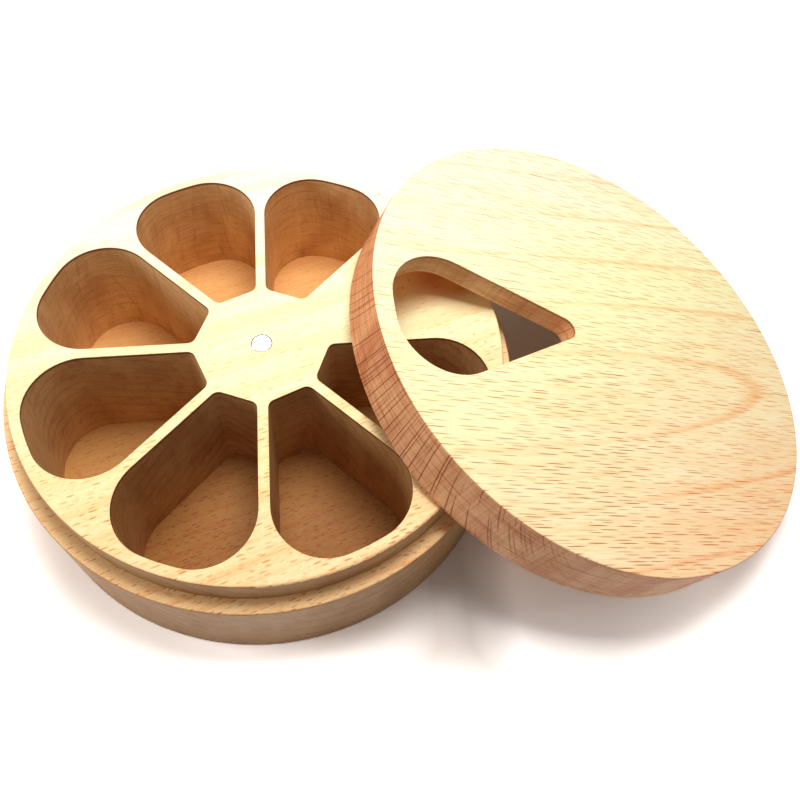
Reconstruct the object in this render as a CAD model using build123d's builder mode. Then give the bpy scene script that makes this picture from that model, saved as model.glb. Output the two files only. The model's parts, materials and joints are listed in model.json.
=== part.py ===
from build123d import *
from math import asin, cos, radians, sin, sqrt, tan
import os

# Round pill organizer: a wooden tray with wedge pockets round a solid hub, and its window lid,
# taken off and leaning with its low rim on the table and its skirt on the tray.
# Origin: centre of the tray's underside, on the table. +Z is up, +X is the way the lid leans.
# Lengths are millimetres, angles are degrees.

# Tray
body_radius = 62.5
ledge_height = 28.3
ledge_width = 3.4
spigot_height = 8.3
floor_thickness = 3.0
tray_edge_break = 0.5

# Pockets: one sector of the tray stays solid, the lid's window parks over it. The corner share is
# taken of the widest corner that the wedge's arc has room for, as is the window's.
sector_count = 8
pocket_count = 7
rib_thickness = 2.6
rim_thickness = 2.6
pocket_inner_distance = 15.7
pocket_inner_corner = 2.1
pocket_corner_share = 0.844
pocket_edge_break = 0.25
grid_turn = 1.4

# Lid: the recess fits over the tray's spigot, so the skirt comes to rest on the ledge
plate_thickness = 6.0
spigot_clearance = 0.3
ceiling_clearance = 0.4
lid_edge_break = 0.4
skirt_edge_break = 0.3

# Window
window_half_angle = 23.1
window_side_offset = 1.25
window_inset = 1.8
window_tip_radius = 3.15
window_corner_share = 0.88
window_edge_break = 0.25
window_turn = 184.4

# Magnets: one in the hub, its partner in the ceiling of the lid's recess
magnet_radius = 2.5
magnet_thickness = 3.0
magnet_edge_break = 0.15
magnet_glue_gap = 0.05

# The lid's lean: the share is how far the tray's rim reaches into the recess, of its depth
entry_share = 0.722
table_gap = 0.1
tray_gap = 0.3

# Derived sizes
sector_angle = 360 / sector_count
tray_top = ledge_height + spigot_height
spigot_radius = body_radius - ledge_width
pocket_outer_radius = spigot_radius - rim_thickness
pocket_depth = tray_top - floor_thickness
recess_radius = spigot_radius + spigot_clearance
recess_depth = spigot_height + ceiling_clearance
lid_thickness = recess_depth + plate_thickness
window_outer_radius = recess_radius - window_inset
bore_radius = magnet_radius + magnet_glue_gap
bore_depth = magnet_thickness + magnet_glue_gap

# Where the leaning lid lies. Its low rim is on the table, and the inner edge of its skirt crosses
# the rim of the tray's top at two points, one on each side. Seen along the lid's slope, the chord
# between these points lies chord_run before the lid's centre and chord_reach beyond the tray's.
rest_height = tray_top + tray_gap - table_gap
lean = asin((rest_height + entry_share * recess_depth) / (body_radius + spigot_radius))
lid_low_centre = body_radius * sin(lean) + table_gap
chord_run = (tray_top + tray_gap - lid_low_centre) / tan(lean)
chord_reach = sqrt((chord_run / cos(lean)) ** 2 - (recess_radius**2 - spigot_radius**2))
lid_plane = Plane(
    origin=(chord_reach + chord_run, 0, lid_low_centre),
    x_dir=(cos(lean), 0, -sin(lean)),
    z_dir=(sin(lean), 0, cos(lean)),
)


def side_point(half_angle, side_offset, radius):
    """Point of a wedge's side wall at a radius. The wall runs side_offset inside the spoke."""
    spoke = radians(half_angle)
    along = sqrt(radius**2 - side_offset**2)
    return (
        along * cos(spoke) + side_offset * sin(spoke),
        along * sin(spoke) - side_offset * cos(spoke),
    )


def widest_corner(half_angle, side_offset, radius):
    """Corner radius at which a wedge's two outer corners would meet in the middle of its arc."""
    spoke = radians(half_angle)
    return (radius * sin(spoke) - side_offset) / (1 + sin(spoke))


# Outline of one pocket, its middle along +X: a straight inner end, two straight sides and an
# outer arc, with tight inner corners and wide outer ones
pocket_half_angle = sector_angle / 2
pocket_side_offset = rib_thickness / 2
pocket_spoke = radians(pocket_half_angle)
inner_half_width = pocket_inner_distance * tan(pocket_spoke) - pocket_side_offset / cos(pocket_spoke)
pocket_wedge = (pocket_half_angle, pocket_side_offset, pocket_outer_radius)
pocket_outer_corner = pocket_corner_share * widest_corner(*pocket_wedge)
pocket_far_x, pocket_far_y = side_point(*pocket_wedge)
with BuildSketch() as pocket_outline:
    with BuildLine():
        Polyline(
            (pocket_far_x, -pocket_far_y),
            (pocket_inner_distance, -inner_half_width),
            (pocket_inner_distance, inner_half_width),
            (pocket_far_x, pocket_far_y),
        )
        ThreePointArc(
            (pocket_far_x, pocket_far_y),
            (pocket_outer_radius, 0),
            (pocket_far_x, -pocket_far_y),
        )
    make_face()
    fillet(pocket_outline.vertices().group_by(Axis.X)[0], radius=pocket_inner_corner)
    fillet(pocket_outline.vertices().group_by(Axis.X)[-1], radius=pocket_outer_corner)

# Outline of the window, its middle along +X: a rounded tip near the lid's centre, two straight
# sides and an outer arc
window_spoke = radians(window_half_angle)
window_wedge = (window_half_angle, window_side_offset, window_outer_radius)
window_outer_corner = window_corner_share * widest_corner(*window_wedge)
window_far_x, window_far_y = side_point(*window_wedge)
with BuildSketch() as window_outline:
    with BuildLine():
        Polyline(
            (window_far_x, -window_far_y),
            (window_side_offset / sin(window_spoke), 0),
            (window_far_x, window_far_y),
        )
        ThreePointArc(
            (window_far_x, window_far_y),
            (window_outer_radius, 0),
            (window_far_x, -window_far_y),
        )
    make_face()
    fillet(window_outline.vertices().group_by(Axis.X)[0], radius=window_tip_radius)
    fillet(window_outline.vertices().group_by(Axis.X)[-1], radius=window_outer_corner)

os.makedirs("parts", exist_ok=True)

# Tray: a round block, turned down to a ledge and a spigot, with the pockets and the magnet's
# bore cut into its top
with BuildPart() as tray:
    with BuildSketch(Plane.XY):
        Circle(body_radius)
    extrude(amount=ledge_height)
    with BuildSketch(Plane.XY.offset(ledge_height)):
        Circle(spigot_radius)
    extrude(amount=spigot_height)
    outer_edges = tray.edges().filter_by(GeomType.CIRCLE)
    fillet(outer_edges.filter_by(lambda edge: edge.radius == body_radius), radius=tray_edge_break)
    fillet(tray.faces().sort_by(Axis.Z)[-1].edges(), radius=tray_edge_break)
    with BuildSketch(Plane.XY.offset(floor_thickness)):
        with PolarLocations(
            radius=0,
            count=pocket_count,
            start_angle=grid_turn + sector_angle + pocket_half_angle,
            angular_range=pocket_count * sector_angle,
        ):
            add(pocket_outline.sketch)
    extrude(amount=pocket_depth, mode=Mode.SUBTRACT)
    pocket_rims = tray.faces().sort_by(Axis.Z)[-1].inner_wires()
    fillet(pocket_rims.edges(), radius=pocket_edge_break)
    with BuildSketch(Plane.XY.offset(tray_top - bore_depth)):
        Circle(bore_radius)
    extrude(amount=bore_depth, mode=Mode.SUBTRACT)
tray.part.label = "tray"
export_step(tray.part, "parts/tray.step")

# Tray magnet: a disc flush with the tray's top
with BuildPart() as tray_magnet:
    with BuildSketch(Plane.XY.offset(tray_top - magnet_thickness)):
        Circle(magnet_radius)
    extrude(amount=magnet_thickness)
    chamfer(tray_magnet.edges().group_by(Axis.Z)[-1], length=magnet_edge_break)
tray_magnet.part.label = "tray_magnet"
export_step(tray_magnet.part, "parts/tray_magnet.step")

# Lid: a round plate with a skirt below it, a window through it and a magnet's bore in the
# ceiling of the recess
with BuildPart() as lid:
    with BuildSketch(lid_plane):
        Circle(body_radius)
    extrude(amount=lid_thickness)
    fillet(lid.edges().filter_by(GeomType.CIRCLE), radius=lid_edge_break)
    with BuildSketch(lid_plane):
        Circle(recess_radius)
    extrude(amount=recess_depth, mode=Mode.SUBTRACT)
    skirt_mouth = lid.edges().filter_by(GeomType.CIRCLE).filter_by(
        lambda edge: edge.radius == recess_radius
    )
    chamfer(skirt_mouth.sort_by(Axis(lid_plane.origin, lid_plane.z_dir))[0], length=skirt_edge_break)
    with BuildSketch(lid_plane.offset(recess_depth)):
        with PolarLocations(radius=0, count=1, start_angle=window_turn):
            add(window_outline.sketch)
    extrude(amount=plate_thickness, mode=Mode.SUBTRACT)
    lid_top = lid.faces().sort_by(Axis(lid_plane.origin, lid_plane.z_dir))[-1]
    fillet(lid_top.inner_wires().edges(), radius=window_edge_break)
    with BuildSketch(lid_plane.offset(recess_depth)):
        Circle(bore_radius)
    extrude(amount=bore_depth, mode=Mode.SUBTRACT)
lid.part.label = "lid"
export_step(lid.part, "parts/lid.step")

# Lid magnet: a disc flush with the ceiling of the recess
with BuildPart() as lid_magnet:
    with BuildSketch(lid_plane.offset(recess_depth)):
        Circle(magnet_radius)
    extrude(amount=magnet_thickness)
    lid_magnet_faces = lid_magnet.faces().sort_by(Axis(lid_plane.origin, lid_plane.z_dir))
    chamfer(lid_magnet_faces[0].edges(), length=magnet_edge_break)
lid_magnet.part.label = "lid_magnet"
export_step(lid_magnet.part, "parts/lid_magnet.step")
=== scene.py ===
import json
from math import cos, radians, sin
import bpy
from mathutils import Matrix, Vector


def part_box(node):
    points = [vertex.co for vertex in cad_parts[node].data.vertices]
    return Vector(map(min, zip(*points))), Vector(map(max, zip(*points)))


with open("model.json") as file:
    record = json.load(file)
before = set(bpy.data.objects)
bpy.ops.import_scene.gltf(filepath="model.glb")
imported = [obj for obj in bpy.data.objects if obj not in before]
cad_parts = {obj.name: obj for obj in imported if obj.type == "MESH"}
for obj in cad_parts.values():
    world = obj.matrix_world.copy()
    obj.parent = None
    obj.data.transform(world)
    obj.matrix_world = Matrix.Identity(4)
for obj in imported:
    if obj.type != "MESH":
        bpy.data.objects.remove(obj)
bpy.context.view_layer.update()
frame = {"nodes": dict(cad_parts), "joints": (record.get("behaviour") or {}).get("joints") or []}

from types import SimpleNamespace

import bpy
from mathutils import Matrix, Vector

# The part's frame is in metres: origin at the middle of the tray's underside, +Z up, +X the way
# the lid leans. Grain, flecks and streaks are laid out in millimetres in each board's own frame:
# X along the grain, Y across it, Z through the board, up from its lowest face.
MM = 0.001

# The camera, solved from the photograph's circles
CAMERA_PLACE = (0.015186817, -0.105515356, 0.197018867)
CAMERA_RIGHT = (0.99544649, -0.07853509, 0.05402340)
CAMERA_DOWN = (-0.03744453, -0.84335711, -0.53604728)
CAMERA_VIEW = (0.08765954, 0.53158350, -0.84245759)
SENSOR_WIDTH = 36.0
CAMERA_LENS = 35.1935
CAMERA_SHIFT = (0.00780, -0.05854)
CAMERA_CLIP = (0.01, 20.0)

# Boards. A rim reach is a radius between a board's inner walls and its outer side.
TRAY_TOP = round(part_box("tray")[1].z / MM, 1)
TRAY_LEDGE = 28.3
POCKET_FLOOR = 3.0
TRAY_RIM_REACH = 58.0
LID_TOP = 14.7
RECESS_CEILING = 8.7
LID_RIM_REACH = 60.0
TRAY_GRAIN_TURN = radians(18)
LID_GRAIN_TURN = radians(3)
lid_turn = next(joint for joint in frame["joints"] if joint["name"] == "lid_turn")
lid_normal = Vector(lid_turn["axis"]).normalized()
lid_along = Vector((lid_normal.z, 0, -lid_normal.x))
lid_across = lid_normal.cross(lid_along)
lid_centre = Vector(lid_turn["pos_m"])


# ---------------------------------------------------------------- nodes

def feed(tree, socket, value):
    """Link an input to a value's socket, or set it to a number, a vector or a colour."""
    if isinstance(value, bpy.types.NodeSocket):
        tree.links.new(value, socket)
    else:
        socket.default_value = value


def node(tree, kind, sockets=None, **settings):
    """A shader node with its settings, and its sockets linked or set."""
    made = tree.nodes.new("ShaderNode" + kind)
    for name, value in settings.items():
        setattr(made, name, value)
    for name, value in (sockets or {}).items():
        feed(tree, made.inputs[name], value)
    return made


def calc(tree, operation, *values):
    """Result of a Math node."""
    made = node(tree, "Math", operation=operation)
    for place, value in enumerate(values):
        feed(tree, made.inputs[place], value)
    return made.outputs[0]


def times(tree, first, second):
    """Product of two numbers."""
    return calc(tree, "MULTIPLY", first, second)


def plus(tree, first, second):
    """Sum of two numbers."""
    return calc(tree, "ADD", first, second)


def minus(tree, first, second):
    """Difference of two numbers."""
    return calc(tree, "SUBTRACT", first, second)


def hypotenuse(tree, first, second):
    """Length of two numbers at a right angle."""
    return calc(tree, "SQRT", plus(tree, times(tree, first, first), times(tree, second, second)))


def vector_calc(tree, operation, *values):
    """Vector result of a Vector Math node, or its number for a dot product or a length."""
    made = node(tree, "VectorMath", operation=operation)
    for place, value in enumerate(values):
        feed(tree, made.inputs["Scale" if operation == "SCALE" and place == 1 else place], value)
    return made.outputs["Value" if operation in ("DOT_PRODUCT", "LENGTH") else "Vector"]


def ramp(tree, value, low, high, out_low=0.0, out_high=1.0):
    """Smooth step of a value from low to high."""
    made = node(tree, "MapRange", {"Value": value, "From Min": low, "From Max": high,
                                   "To Min": out_low, "To Max": out_high},
                interpolation_type="SMOOTHSTEP")
    return made.outputs["Result"]


def mix(tree, share, first, second, blend="MIX"):
    """Colour mix of first and second."""
    factor_place, first_place, second_place, result_place = 0, 6, 7, 2
    made = node(tree, "Mix", data_type="RGBA", blend_type=blend)
    feed(tree, made.inputs[factor_place], share)
    feed(tree, made.inputs[first_place], first)
    feed(tree, made.inputs[second_place], second)
    return made.outputs[result_place]


def stain(tree, share, colour, tint):
    """A colour multiplied by a tint, as far as the share says."""
    return mix(tree, share, colour, tint, "MULTIPLY")


def noise(tree, vector, scale=1.0, detail=2.0, roughness=0.5, output="Fac"):
    """Soft noise from 0 to 1, about 0.5 in the middle."""
    made = node(tree, "TexNoise", {"Vector": vector, "Scale": scale, "Detail": detail,
                                   "Roughness": roughness}, noise_dimensions="3D")
    return made.outputs[output]


def stretched(tree, vector, size, shift=(0, 0, 0)):
    """The vector in cells of a size along the grain, across it and through the board."""
    made = node(tree, "Mapping", {"Vector": vector, "Location": shift,
                                  "Scale": tuple(1 / s for s in size)}, vector_type="POINT")
    return made.outputs["Vector"]


def stops(tree, value, places):
    """Colour of a value between the given places, each a number and its colour."""
    low, high = places[0][0], places[-1][0]
    share = node(tree, "MapRange", {"Value": value, "From Min": low, "From Max": high})
    made = node(tree, "ValToRGB", {"Fac": share.outputs["Result"]})
    elements = made.color_ramp.elements
    while len(elements) < len(places):
        elements.new(0.5)
    for element, (place, colour) in zip(elements, places):
        element.position = (place - low) / (high - low)
        element.color = colour
    return made.outputs["Color"]


def rgb(red, green, blue):
    """A colour written in the 0 to 255 numbers of a picture, as linear light."""
    def linear(value):
        value /= 255
        return value / 12.92 if value <= 0.04045 else ((value + 0.055) / 1.055) ** 2.4
    return (linear(red), linear(green), linear(blue), 1.0)


def bare_material(name):
    """A new material and its node tree, still empty."""
    material = bpy.data.materials.new(name)
    material.use_nodes = True
    material.node_tree.nodes.clear()
    return material, material.node_tree


def set_surface(tree, shader):
    """End the tree in a shader."""
    node(tree, "OutputMaterial", {"Surface": shader.outputs[0]})


# ---------------------------------------------------------------- wood

# Beech, the same in both boards. A SIZE is in millimetres along the grain, across it and through
# the board. A SPAN is the two values between which a mark fades in, and where the first is larger
# it fades in as the value falls. A FADE adds the results at its two ends. A SHARE says how much
# of a mark or a tint shows.
NOISE_MIDDLE = 0.5
GROUND_SCALE = 0.035
# Along a set way the board goes from a bright end to a dim end: painted light falling off across
# the board, with a slow random sway of the wood's own colour by TONE_SWAY. DIM_SPAN and
# FIGURE_FADE are spans along this.
TONE_SWAY = 16
DIM_SPAN = (-45, 45)
FIGURE_FADE = (-20, 40, 0.4, 1.0)
PATCH_SIZE = (38, 14, 14)
FIBRE_SIZE = (9.0, 0.32, 0.55)
FIBRE_SPAN = (0.4, 0.75)
STREAK_SIZE = (60, 5.5, 7.0)
STREAK_SPAN = (0.35, 0.7)
GRIT_SIZE = (0.7, 0.24, 0.24)
PORE_SPAN = (0.38, 0.66)

# Growth rings: where in a ring its late wood peaks, the least depth from the pith, how far a
# patch moves the place where bold rings fade in, and the patches that show thin rings
LATE_PEAK = 0.93
LEAST_DEPTH = 1.5
BOLD_SWAY = 30
THIN_SPAN = (0.65, 0.4)

# Flecks and lines. The sizes are shares of a full fleck, and the shifts are in cells.
STAGGER = 0.38
SCATTER = 0.8
KEEP_RISE = 0.4
LEAST_SIZE = 0.4
NO_SIZE = 0.001
LENS_SPAN = (1.0, 0.55)
BEND_SCALE = 0.30
FLECK_SHIFT = (3.1, 7.7, 0.02)
LINE_SHIFT = (11.9, 2.3, 5.1)
LINE_BEND = 0.2

# Patches of painted shade, and lower flat faces
SHADE_PATCH_SPAN = (1.0, 0.35)
SHADE_PATCH_DEPTH = 40.0
LOWER_SPAN = (0.8, 0.64)
LOWER_SHARE = 0.7
LOW_FLECK_KEEP = 0.95
LOW_FLECK_BEND = 0.4
LOW_FLECK_SHIFT = (1.7, 5.1, 0.6)
LOW_KIND_FADE = (0.0, 0.8, 0.3, 1.0)
LOW_TONE_FADE = (-30, 25, 0.35, 1.0)

# Cut walls. A burnt edge fades in between two depths below the board's top.
WALL_TO_FACE = (0.35, 0.85)
RIM_BLEND = 0.6
CLOUD_SIZE = (13.0, 9.0, 22.0)
CLOUD_FADE = (0.4, 0.75, 0.0, 0.8)
UPRIGHT_SPAN = (0.42, 0.75)
FINE_SPAN = (0.45, 0.7)
END_GRAIN_SPAN = (0.3, 0.75)
LONG_GRAIN_SHARE = 0.2
BURN_DEPTH = (1.05, 0.45)

# Broken edges, gloss and relief
ARRIS_FROM_WALL = (0.1, 0.4)
ARRIS_FROM_FACE = (0.98, 0.7)
ARRIS_TINT_FADE = (0.3, 0.6, 0.25, 0.6)
GLOSS_SPAN = (0.3, 0.8)
GLOSS_CHANGE = (-0.07, 0.09)
FLECK_ROUGHNESS = 0.08
FIBRE_RELIEF, FLECK_RELIEF, GRIT_RELIEF, LINE_RELIEF = 0.5, 0.8, 0.35, 0.9
RELIEF_STRENGTH = 0.35
RELIEF_DEPTH = 0.06 * MM
WOOD_SHINE = 0.28


def flecks(tree, board, cell, keep, lens, bend, shift, scatter=SCATTER):
    """Ray flecks: one thin lens in a kept share of the cells, its half lengths given as shares of
    the cell. Each row of cells starts STAGGER of a cell further along the grain than the last.
    Returns how much of a fleck there is, and its cell's random number."""
    sway = noise(tree, board, BEND_SCALE, detail=1.0, output="Color")
    bent = vector_calc(tree, "ADD", stretched(tree, board, cell, shift),
                       vector_calc(tree, "SCALE", sway, bend))

    def sheared(vector, amount):
        across = vector_calc(tree, "DOT_PRODUCT", vector, (0, amount, 0))
        along = node(tree, "CombineXYZ", {"X": across}).outputs["Vector"]
        return vector_calc(tree, "ADD", vector, along)

    rows = sheared(bent, STAGGER)
    cells = node(tree, "TexVoronoi", {"Vector": rows, "Scale": 1.0, "Randomness": scatter},
                 voronoi_dimensions="3D", feature="F1")
    parts = node(tree, "SeparateColor", {"Color": cells.outputs["Color"]})
    offset = vector_calc(tree, "SUBTRACT", rows, cells.outputs["Position"])
    offset = vector_calc(tree, "DIVIDE", sheared(offset, -STAGGER), lens)
    size = ramp(tree, parts.outputs["Red"], 1 - keep, 1 + KEEP_RISE - keep)
    size = plus(tree, times(tree, size, 1 - LEAST_SIZE),
                times(tree, calc(tree, "GREATER_THAN", size, 0.0), LEAST_SIZE))
    edge = calc(tree, "DIVIDE", vector_calc(tree, "LENGTH", offset),
                calc(tree, "MAXIMUM", size, NO_SIZE))
    return ramp(tree, edge, *LENS_SPAN), parts.outputs["Green"]


def board_grain(tree, place, along, across, normal, look):
    """What a board's faces and walls share: where a point lies in the board, how its surface
    faces, and the rings, flecks, lines, fibres and pores there."""
    coordinates = node(tree, "TexCoord").outputs
    frame_matrix = Matrix((along, across, normal)).transposed()
    board = node(tree, "Mapping", {"Vector": coordinates["Object"], "Location": place,
                                   "Rotation": tuple(frame_matrix.to_euler("XYZ")),
                                   "Scale": (MM, MM, MM)}, vector_type="TEXTURE").outputs["Vector"]
    axes = node(tree, "SeparateXYZ", {"Vector": board}).outputs
    x, y, z = (axes[axis] for axis in "XYZ")

    def facing(direction):
        return calc(tree, "ABSOLUTE", vector_calc(tree, "DOT_PRODUCT", coordinates["Normal"],
                                                  tuple(direction)))

    # Painted light falling off along a set way, so the board grows dim at one end, with a slow
    # random change of the wood's own colour
    turn_x, turn_y = look["painted_falloff_way"]
    ground = noise(tree, board, GROUND_SCALE, detail=1.0)
    tone = plus(tree, times(tree, x, turn_x), times(tree, y, turn_y))
    tone = plus(tree, tone, times(tree, minus(tree, ground, NOISE_MIDDLE), TONE_SWAY))
    figure = ramp(tree, tone, *FIGURE_FADE)

    # Growth rings round a pith that dips along the grain, so they draw arches on the face
    sway = noise(tree, stretched(tree, board, look["sway_size"]))
    sway = times(tree, minus(tree, sway, NOISE_MIDDLE), look["sway"])
    pith_y, pith_z, pith_drift = look["pith"]
    side = minus(tree, minus(tree, y, pith_y), times(tree, x, pith_drift))
    depth = minus(tree, plus(tree, z, times(tree, x, look["dip"])), pith_z)
    depth = calc(tree, "MAXIMUM", depth, LEAST_DEPTH)
    radius = plus(tree, hypotenuse(tree, side, depth), sway)
    patch = noise(tree, stretched(tree, board, PATCH_SIZE), detail=1.0)

    def late_wood(ring, shift, rise, width):
        turn = calc(tree, "FRACT", calc(tree, "DIVIDE", plus(tree, radius, shift), ring))
        return times(tree, ramp(tree, turn, LATE_PEAK - rise, LATE_PEAK),
                     ramp(tree, turn, LATE_PEAK + width, LATE_PEAK))

    bold_way = plus(tree, x, times(tree, patch, BOLD_SWAY))
    bold = times(tree, late_wood(*look["bold_ring"]), ramp(tree, bold_way, *look["bold_fade"]))
    thin = times(tree, late_wood(*look["thin_ring"]), ramp(tree, patch, *THIN_SPAN))

    # Flecks, long pores and fibres. The rays fan out through the board, away from the pith
    fan = times(tree, times(tree, minus(tree, z, look["top"]), look["fan"]), side)
    fanned = node(tree, "CombineXYZ", {"X": x, "Y": minus(tree, y, fan), "Z": z}).outputs["Vector"]
    dash, dash_kind = flecks(tree, fanned, look["fleck"], look["fleck_keep"], look["fleck_lens"],
                             look["fleck_bend"], FLECK_SHIFT, look["fleck_scatter"])
    line = flecks(tree, board, look["line"], look["line_keep"], look["line_lens"], LINE_BEND,
                  LINE_SHIFT)[0]
    grit = noise(tree, stretched(tree, board, GRIT_SIZE), roughness=0.7)
    return SimpleNamespace(
        board=board, x=x, z=z, reach=hypotenuse(tree, x, y),
        out=facing(normal), end_grain=facing(along),
        tone=tone, dim=ramp(tree, tone, *DIM_SPAN), figure=figure,
        bold=bold, thin=times(tree, thin, figure), dash=dash, dash_kind=dash_kind,
        line=times(tree, line, ramp(tree, x, *look["line_from"])),
        fibre=noise(tree, stretched(tree, board, FIBRE_SIZE), detail=3.0, roughness=0.6),
        streak=noise(tree, stretched(tree, board, STREAK_SIZE)),
        grit=grit, pores=ramp(tree, grit, *PORE_SPAN, 0.0, look["pore_share"]))


def face_colour(tree, grain, look):
    """Colour of the board's top."""
    # The top's stops run from the board's bright end to its dim end: painted light falling off
    # across the board, with the wood's own colour
    face = stops(tree, grain.tone, look["face"])
    streaks = ramp(tree, grain.streak, *STREAK_SPAN, 0.0, look["streak_share"])
    face = stain(tree, streaks, face, look["warm"])
    # Patches of painted shade, where the lid shades the tray's top under its window
    for place, reach, tint in look["painted_shade_patches"]:
        away = vector_calc(tree, "SUBTRACT", grain.board, place)
        away = vector_calc(tree, "LENGTH", vector_calc(tree, "DIVIDE", away, reach))
        face = stain(tree, ramp(tree, away, *SHADE_PATCH_SPAN), face, tint)
    strands = ramp(tree, grain.fibre, *FIBRE_SPAN, 0.0, look["fibre_share"])
    for share in (times(tree, grain.bold, look["bold_share"]),
                  times(tree, grain.thin, look["thin_share"]),
                  times(tree, strands, grain.figure),
                  times(tree, grain.pores, grain.figure)):
        face = stain(tree, share, face, look["late"])
    dash_tint = mix(tree, ramp(tree, grain.tone, *look["fleck_span"]), look["fleck_pale"],
                    look["fleck_deep"])
    dash_tint = mix(tree, ramp(tree, grain.x, *look["fleck_far_from"]), dash_tint,
                    look["fleck_far"])
    dash_share = ramp(tree, grain.dash_kind, 0.0, 1.0, *look["fleck_share"])
    face = stain(tree, times(tree, grain.dash, dash_share), face, dash_tint)
    return stain(tree, times(tree, grain.line, look["line_share"]), face, look["fleck_deep"])


def add_lower_faces(tree, grain, look, face):
    """The face's colour with that of the lower flat faces, such as a pocket's floor or a ledge,
    which are cut deeper and look tanner. From pale to deep they grow dim along the board, which is
    painted shade where the light falls off."""
    dash, kind = flecks(tree, grain.board, look["low_fleck"], LOW_FLECK_KEEP, look["low_lens"],
                        LOW_FLECK_BEND, LOW_FLECK_SHIFT)
    dash = times(tree, dash, ramp(tree, kind, *LOW_KIND_FADE))
    dash = times(tree, dash, ramp(tree, grain.tone, *LOW_TONE_FADE))
    strands = ramp(tree, grain.fibre, *FIBRE_SPAN, 0.0, LOWER_SHARE)
    rings = times(tree, grain.thin, LOWER_SHARE)
    for height, pale, deep in look["lower_faces"]:
        # From pale to deep towards the board's dim end: painted shade where the light falls off
        # across the board, as on the floors of the tray's front pockets
        lower = mix(tree, grain.dim, pale, deep)
        for share in (strands, rings, grain.pores):
            lower = stain(tree, share, lower, look["late"])
        lower = stain(tree, dash, lower, look["fleck_low"])
        away = calc(tree, "ABSOLUTE", minus(tree, grain.z, height))
        face = mix(tree, ramp(tree, away, *LOWER_SPAN), face, lower)
    return face


def wall_colour(tree, grain, look):
    """Colour of the cut walls: browner, with fine lines of the rings across the streaks of the
    rays, and burnt along the upper edge of a pocket or a window. From pale to deep they grow dim
    along the board, which is painted shade where the light falls off."""
    fine = noise(tree, stretched(tree, grain.board, look["fine"]), roughness=0.6)
    upright = noise(tree, stretched(tree, grain.board, look["upright"]), detail=3.0, roughness=0.6)
    cloud = noise(tree, stretched(tree, grain.board, CLOUD_SIZE))
    inner_reach = look["rim_reach"] - RIM_BLEND
    outside = ramp(tree, grain.reach, inner_reach, look["rim_reach"])
    # From pale to deep towards the board's dim end: painted shade where the light falls off across
    # the board, as on the walls of the tray's front pockets
    plain = mix(tree, outside, mix(tree, grain.dim, look["wall_pale"], look["wall_deep"]),
                mix(tree, grain.dim, look["rim_pale"], look["rim_deep"]))
    shaded = plain
    for share in (ramp(tree, cloud, *CLOUD_FADE),
                  ramp(tree, upright, *UPRIGHT_SPAN, 0.0, look["upright_share"]),
                  ramp(tree, fine, *FINE_SPAN, 0.0, look["fine_share"]),
                  grain.pores,
                  times(tree, grain.thin, look["wall_ring_share"])):
        shaded = stain(tree, share, shaded, look["wall_shade"])
    dash_share = ramp(tree, grain.end_grain, *END_GRAIN_SPAN, LONG_GRAIN_SHARE,
                      look["wall_line_share"])
    shaded = stain(tree, times(tree, grain.dash, dash_share), shaded, look["wall_line"])
    pattern = ramp(tree, outside, 0.0, 1.0, look["inner_pattern"], look["rim_pattern"])
    burn_low, burn_high = (look["top"] - depth for depth in BURN_DEPTH)
    burn = times(tree, ramp(tree, grain.z, burn_low, burn_high),
                 ramp(tree, grain.reach, look["rim_reach"], inner_reach))
    return stain(tree, times(tree, burn, look["burn_share"]), mix(tree, pattern, plain, shaded),
                 look["burn"])


def wood(name, place, along, across, normal, look):
    """Beech as a solid texture. The same rings, rays and fibres run through the board, so they
    show as dashes on its faces and as fine lines on its end grain."""
    material, tree = bare_material(name)
    grain = board_grain(tree, place, along, across, normal, look)
    face = add_lower_faces(tree, grain, look, face_colour(tree, grain, look))
    colour = mix(tree, ramp(tree, grain.out, *WALL_TO_FACE), wall_colour(tree, grain, look), face)

    # Arrises, where a broken edge turns from a face to a wall, made tanner and darker
    arris = times(tree, ramp(tree, grain.out, *ARRIS_FROM_WALL),
                  ramp(tree, grain.out, *ARRIS_FROM_FACE))
    colour = stain(tree, times(tree, arris, ramp(tree, grain.grit, *ARRIS_TINT_FADE)), colour,
                   look["arris_tint"])

    # Gloss and relief
    rough = ramp(tree, grain.grit, *GLOSS_SPAN, *(look["rough"] + step for step in GLOSS_CHANGE))
    rough = plus(tree, rough, times(tree, grain.dash, FLECK_ROUGHNESS))
    relief = minus(tree, times(tree, grain.fibre, FIBRE_RELIEF),
                   times(tree, grain.dash, FLECK_RELIEF))
    relief = plus(tree, relief, times(tree, grain.grit, GRIT_RELIEF))
    relief = minus(tree, relief, times(tree, grain.line, LINE_RELIEF))
    bump = node(tree, "Bump", {"Strength": RELIEF_STRENGTH, "Distance": RELIEF_DEPTH,
                               "Height": relief})
    set_surface(tree, node(tree, "BsdfPrincipled", {
        "Base Color": colour, "Roughness": rough, "Normal": bump.outputs["Normal"],
        "Specular IOR Level": WOOD_SHINE}))
    return material


def turned(first, second, angle):
    """Two perpendicular directions, turned in their plane."""
    return (first * cos(angle) + second * sin(angle), second * cos(angle) - first * sin(angle))


def way(angle, grain_turn):
    """Direction of a slow change, in the board's own frame."""
    return (cos(radians(angle) - grain_turn), sin(radians(angle) - grain_turn))


def painted_shade_patch(x, y, reach_x, reach_y, tint):
    """A patch of painted shade on the tray's top, where the lid shades it under the lid's window:
    its middle is given in the part's frame, its reach in the board's."""
    middle = Matrix.Rotation(-TRAY_GRAIN_TURN, 3, "Z") @ Vector((x, y, TRAY_TOP))
    return (tuple(middle), (reach_x, reach_y, SHADE_PATCH_DEPTH), tint)
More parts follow.
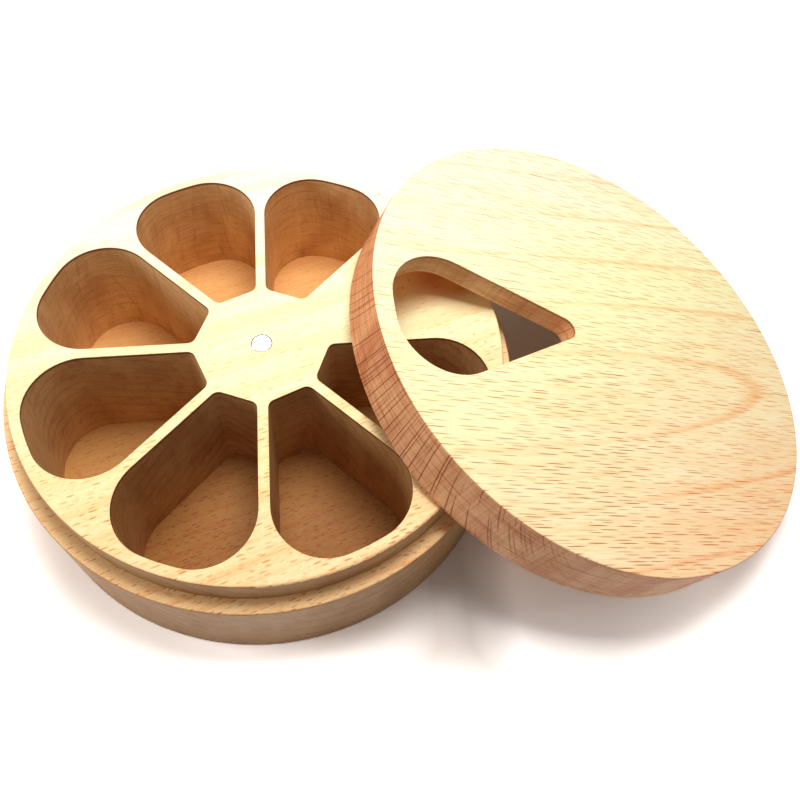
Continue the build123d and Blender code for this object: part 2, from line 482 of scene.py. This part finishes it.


# Both boards' looks, in the same order. A face's stops go from the board's bright end to its dim
# end, and so does each pair of a pale and a deep colour. Bright and dim are painted light falling
# off across the board, with the wood's own colour.
TRAY_LOOK = dict(
    # Heights, radii and the way along which painted light falls off, so the board grows dim
    top=TRAY_TOP, rim_reach=TRAY_RIM_REACH, painted_falloff_way=way(-80, TRAY_GRAIN_TURN),
    # Top, from bright to dim along the painted falloff of light
    face=[(-45, rgb(254, 254, 236)), (-13, rgb(254, 254, 212)), (8, rgb(254, 250, 202)),
          (30, rgb(254, 237, 183)), (55, rgb(254, 224, 172))],
    # Painted shade of the lid on the tray's top, under the lid's window
    painted_shade_patches=[painted_shade_patch(34.0, 20.0, 16.0, 16.0, rgb(240, 190, 148)),
                 painted_shade_patch(50.0, 19.0, 15.0, 11.0, rgb(222, 164, 122))],
    warm=rgb(253, 238, 222), late=rgb(250, 218, 190), streak_share=0.8, fibre_share=0.45,
    pore_share=0.45,
    # Rings
    pith=(70.0, -70.0, 0.0), dip=0.03, sway=3.0, sway_size=(70, 24, 30),
    bold_ring=(9.0, 0.0, 0.25, 0.05), bold_fade=(-60, 20, 0.4, 1.0), bold_share=0.3,
    thin_ring=(3.1, 0.0, 0.35, 0.06), thin_share=0.45,
    # Flecks
    fleck=(3.3, 0.82, 12.0), fleck_keep=0.95, fleck_lens=(0.36, 0.25, 0.6), fleck_bend=0.3,
    fleck_scatter=SCATTER, fan=-0.003, fleck_share=(0.35, 1.0), fleck_span=(-15, 45),
    fleck_pale=rgb(254, 238, 204), fleck_deep=rgb(216, 162, 116), fleck_far=rgb(216, 162, 116),
    fleck_far_from=(60, 80),
    # Lines
    line=(3.4, 3.1, 7.0), line_keep=0.35, line_lens=(0.17, 0.13, 0.5), line_share=0.7,
    line_from=(6, 30, 0.15, 1.0),
    # Lower flat faces, each with its height
    lower_faces=[(POCKET_FLOOR, rgb(243, 192, 122), rgb(161, 107, 35)),
                 (TRAY_LEDGE, rgb(255, 237, 190), rgb(255, 217, 159)),
                 (0.0, rgb(250, 222, 176), rgb(240, 202, 152))],
    low_fleck=(2.8, 0.72, 9.0), low_lens=(0.36, 0.24, 0.7), fleck_low=rgb(210, 156, 112),
    # Inner walls, and the outer side
    wall_pale=rgb(247, 212, 155), wall_deep=rgb(196, 153, 101), inner_pattern=1.0,
    rim_pale=rgb(255, 232, 195), rim_deep=rgb(180, 139, 91), rim_pattern=0.8,
    wall_shade=rgb(216, 192, 172), fine=(5.0, 5.0, 0.28), fine_share=0.6,
    upright=(2.4, 1.6, 18.0), upright_share=0.28, wall_ring_share=0.8,
    wall_line=rgb(176, 150, 130), wall_line_share=0.2,
    # Broken edges and gloss
    burn=rgb(132, 78, 54), burn_share=0.9, arris_tint=rgb(236, 196, 160), rough=0.56)
LID_LOOK = dict(
    top=LID_TOP, rim_reach=LID_RIM_REACH, painted_falloff_way=way(-64, LID_GRAIN_TURN),
    # Top, from bright to dim along the painted falloff of light
    face=[(-46, rgb(254, 254, 222)), (-10, rgb(254, 254, 200)), (20, rgb(254, 244, 196)),
          (40, rgb(254, 239, 195)), (56, rgb(254, 223, 177))],
    painted_shade_patches=[],
    warm=rgb(254, 242, 228), late=rgb(250, 216, 190), streak_share=0.5, fibre_share=0.75,
    pore_share=0.22,
    pith=(-17.9, 12.84, 0.135), dip=0.20, sway=2.5, sway_size=(60, 26, 30),
    bold_ring=(15.0, 1.95, 0.11, 0.05), bold_fade=(-5, 50, 0.35, 1.0), bold_share=0.7,
    thin_ring=(3.7, 1.95, 0.3, 0.06), thin_share=0.28,
    fleck=(8.0, 0.76, 34.0), fleck_keep=1.0, fleck_lens=(0.43, 0.20, 0.75), fleck_bend=0.15,
    fleck_scatter=0.55, fan=-0.012, fleck_share=(0.5, 1.0), fleck_span=(-40, 25),
    fleck_pale=rgb(246, 184, 138), fleck_deep=rgb(184, 116, 66), fleck_far=rgb(234, 162, 110),
    fleck_far_from=(-20, 60),
    line=(20.0, 4.0, 9.0), line_keep=0.5, line_lens=(0.30, 0.045, 0.5), line_share=0.7,
    line_from=(-200, -100, 0.0, 1.0),
    lower_faces=[(RECESS_CEILING, rgb(250, 220, 174), rgb(240, 198, 150)),
                 (0.0, rgb(252, 224, 180), rgb(242, 202, 156))],
    low_fleck=(5.4, 0.6, 30.0), low_lens=(0.40, 0.27, 0.7), fleck_low=rgb(196, 146, 112),
    wall_pale=rgb(255, 220, 165), wall_deep=rgb(252, 157, 91), inner_pattern=0.75,
    rim_pale=rgb(235, 167, 116), rim_deep=rgb(245, 195, 149), rim_pattern=1.0,
    wall_shade=rgb(214, 174, 146), fine=(14.0, 14.0, 0.50), fine_share=0.9,
    upright=(1.6, 0.42, 40.0), upright_share=0.6, wall_ring_share=0.3,
    wall_line=rgb(160, 96, 62), wall_line_share=0.8,
    burn=rgb(160, 106, 80), burn_share=0.45, arris_tint=rgb(232, 180, 140), rough=0.58)

tray_axes = turned(Vector((1, 0, 0)), Vector((0, 1, 0)), TRAY_GRAIN_TURN)
lid_axes = turned(lid_along, lid_across, LID_GRAIN_TURN)
tray_wood = wood("tray_beech", (0, 0, 0), *tray_axes, Vector((0, 0, 1)), TRAY_LOOK)
lid_wood = wood("lid_beech", tuple(lid_centre), *lid_axes, lid_normal, LID_LOOK)


# ---------------------------------------------------------------- magnets

PLATE_BRIGHT, PLATE_DULL, PLATE_SPECK = rgb(238, 238, 236), rgb(214, 214, 216), rgb(150, 150, 154)
DULL_SCALE = 1.1
DULL_SPAN = (0.35, 0.7)
SPECK_SCALE = 7.0
SPECK_FADE = (0.68, 0.74, 0.0, 0.6)
SCRATCH_SIZE = (3.0, 0.05, 1.0)
SCRATCH_ROUGHNESS = (0.35, 0.7, 0.16, 0.34)
SCRATCH_STRENGTH = 0.25
SCRATCH_DEPTH = 0.02 * MM


def nickel(name):
    """Nickel plate with fine scratches and a few dull specks."""
    material, tree = bare_material(name)
    coordinates = node(tree, "TexCoord").outputs
    plate = vector_calc(tree, "SCALE", coordinates["Object"], 1 / MM)
    scratch = noise(tree, stretched(tree, plate, SCRATCH_SIZE), detail=3.0, roughness=0.7)
    dull = noise(tree, plate, DULL_SCALE, detail=3.0, roughness=0.6)
    speck = noise(tree, plate, SPECK_SCALE, detail=1.0)
    tint = mix(tree, ramp(tree, dull, *DULL_SPAN), PLATE_BRIGHT, PLATE_DULL)
    tint = mix(tree, ramp(tree, speck, *SPECK_FADE), tint, PLATE_SPECK)
    rough = ramp(tree, scratch, *SCRATCH_ROUGHNESS)
    bump = node(tree, "Bump", {"Strength": SCRATCH_STRENGTH, "Distance": SCRATCH_DEPTH,
                               "Height": scratch})
    set_surface(tree, node(tree, "BsdfPrincipled", {
        "Base Color": tint, "Roughness": rough, "Metallic": 1.0,
        "Normal": bump.outputs["Normal"]}))
    return material


magnet_plate = nickel("magnet_nickel_plate")

for name, material in (("tray", tray_wood), ("lid", lid_wood), ("tray_magnet", magnet_plate),
                       ("lid_magnet", magnet_plate)):
    piece = frame["nodes"][name]
    piece.data.materials.clear()
    piece.data.materials.append(material)


# ---------------------------------------------------------------- floor, light and camera

FLOOR_REACH = 3.0
FLOOR_GREY = (0.48, 0.47, 0.46, 1.0)
FLOOR_SEEN = (1.0, 0.91, 0.85, 1.0)
# Extra white for the camera. The first five are painted light, which lifts the object's cast
# shadow on the floor to white in places. The first two are places along X in millimetres and their
# white, the next three are spans in millimetres, and the last two are spans in metres from the
# origin, which make the far floor evenly white.
LEFT_PAINTED_LIGHT = [(-50, 0.75), (-25, 1.3), (-6, 2.0), (6, 1.9), (24, 0.8), (40, 0.0)]
RIGHT_PAINTED_LIGHT = [(48, 0.0), (55, 0.6), (61, 1.4), (82, 1.3), (110, 1.9), (135, 0.75)]
RIGHT_PAINTED_LIGHT_FRONT = (-25, -50)
SIDE_PAINTED_LIGHT = (64, 84)
END_PAINTED_LIGHT = (115, 150, 0.0, 0.75)
WIDE_WHITE = (0.14, 0.30, 0.0, 3.0)
FAR_WHITE = (0.17, 0.6, 0.0, 3.0)
WORLD_LEVEL = 0.24
WORLD_COLOUR = (1.0, 0.99, 0.975, 1.0)
LAMP_TARGET = (0.03, 0.0, 0.02)
LAMP_COLOUR = (1.0, 0.99, 0.97)


def white_to_camera(tree, otherwise):
    """One for a camera, mirror or glass ray, and the given number for all other light."""
    path = node(tree, "LightPath").outputs
    seen = calc(tree, "MAXIMUM", path["Is Camera Ray"],
                calc(tree, "MAXIMUM", path["Is Glossy Ray"], path["Is Transmission Ray"]))
    return plus(tree, times(tree, seen, 1.0 - otherwise), otherwise)


def floor_paper(name):
    """Paper that is grey to other light and white to the camera. The object's cast shadow stays
    close round the object, and there painted light, set by place, lifts it to white in parts."""
    material, tree = bare_material(name)
    place = node(tree, "TexCoord").outputs["Object"]
    axes = node(tree, "SeparateXYZ", {"Vector": place}).outputs
    x, y = (calc(tree, "DIVIDE", axes[axis], MM) for axis in "XY")
    away = vector_calc(tree, "LENGTH", place)
    seen = white_to_camera(tree, 0.0)

    def profile(places):
        """Painted light along X, lifting the cast shadow. Stops hold no number above 1, so they
        are given as shares of the most.
        """
        most = max(white for place, white in places)
        shares = stops(tree, x, [(place, (white / most,) * 3 + (1.0,)) for place, white in places])
        return times(tree, shares, most)

    right = times(tree, profile(RIGHT_PAINTED_LIGHT), ramp(tree, y, *RIGHT_PAINTED_LIGHT_FRONT))
    outer = calc(tree, "MAXIMUM", ramp(tree, calc(tree, "ABSOLUTE", y), *SIDE_PAINTED_LIGHT),
                 ramp(tree, x, *END_PAINTED_LIGHT))
    # Painted light close round the object, which lifts its cast shadow to white in places
    near = calc(tree, "MAXIMUM", calc(tree, "MAXIMUM", profile(LEFT_PAINTED_LIGHT), right), outer)
    wide = calc(tree, "MINIMUM", plus(tree, near, ramp(tree, away, *WIDE_WHITE)), 1.0)
    white = plus(tree, calc(tree, "MAXIMUM", near, wide), ramp(tree, away, *FAR_WHITE))
    white = times(tree, seen, white)
    paper = node(tree, "BsdfDiffuse", {"Color": mix(tree, seen, FLOOR_GREY, FLOOR_SEEN)})
    lift = node(tree, "BsdfDiffuse", {"Color": node(tree, "CombineColor", {
        "Red": white, "Green": white, "Blue": white}).outputs["Color"]})
    both = node(tree, "AddShader")
    for socket, shader in zip(both.inputs, (paper, lift)):
        feed(tree, socket, shader.outputs["BSDF"])
    set_surface(tree, both)
    return material


floor_mesh = bpy.data.meshes.new("floor")
floor_mesh.from_pydata([(-FLOOR_REACH, -FLOOR_REACH, 0), (FLOOR_REACH, -FLOOR_REACH, 0),
                        (FLOOR_REACH, FLOOR_REACH, 0), (-FLOOR_REACH, FLOOR_REACH, 0)], [],
                       [(0, 1, 2, 3)])
floor = bpy.data.objects.new("floor", floor_mesh)
bpy.context.scene.collection.objects.link(floor)
floor_mesh.materials.append(floor_paper("floor_paper"))

world = bpy.data.worlds.new("studio")
world.use_nodes = True
bpy.context.scene.world = world
background = world.node_tree.nodes["Background"]
background.inputs["Color"].default_value = WORLD_COLOUR
feed(world.node_tree, background.inputs["Strength"],
     white_to_camera(world.node_tree, WORLD_LEVEL))


def lamp(name, place, size, power):
    """A square soft lamp that points at the object."""
    data = bpy.data.lights.new(name, "AREA")
    data.shape = "SQUARE"
    data.size = size
    data.energy = power
    data.color = LAMP_COLOUR
    made = bpy.data.objects.new(name, data)
    made.location = place
    made.rotation_mode = "QUATERNION"
    made.rotation_quaternion = (Vector(LAMP_TARGET) - Vector(place)).to_track_quat("-Z", "Y")
    bpy.context.scene.collection.objects.link(made)


lamp("key", (0.04, 0.07, 0.42), 0.18, 1.60)
lamp("side", (-0.42, 0.0, 0.15), 0.20, 0.78)

camera_data = bpy.data.cameras.new("camera")
camera_data.sensor_width = SENSOR_WIDTH
camera_data.lens = CAMERA_LENS
camera_data.shift_x, camera_data.shift_y = CAMERA_SHIFT
camera_data.clip_start, camera_data.clip_end = CAMERA_CLIP
camera = bpy.data.objects.new("camera", camera_data)
right, up, back = Vector(CAMERA_RIGHT), -Vector(CAMERA_DOWN), -Vector(CAMERA_VIEW)
camera.matrix_world = Matrix((right, up, back)).transposed().to_4x4()
camera.matrix_world.translation = Vector(CAMERA_PLACE)
bpy.context.scene.collection.objects.link(camera)
bpy.context.scene.camera = camera
bpy.context.scene.view_settings.view_transform = "Standard"
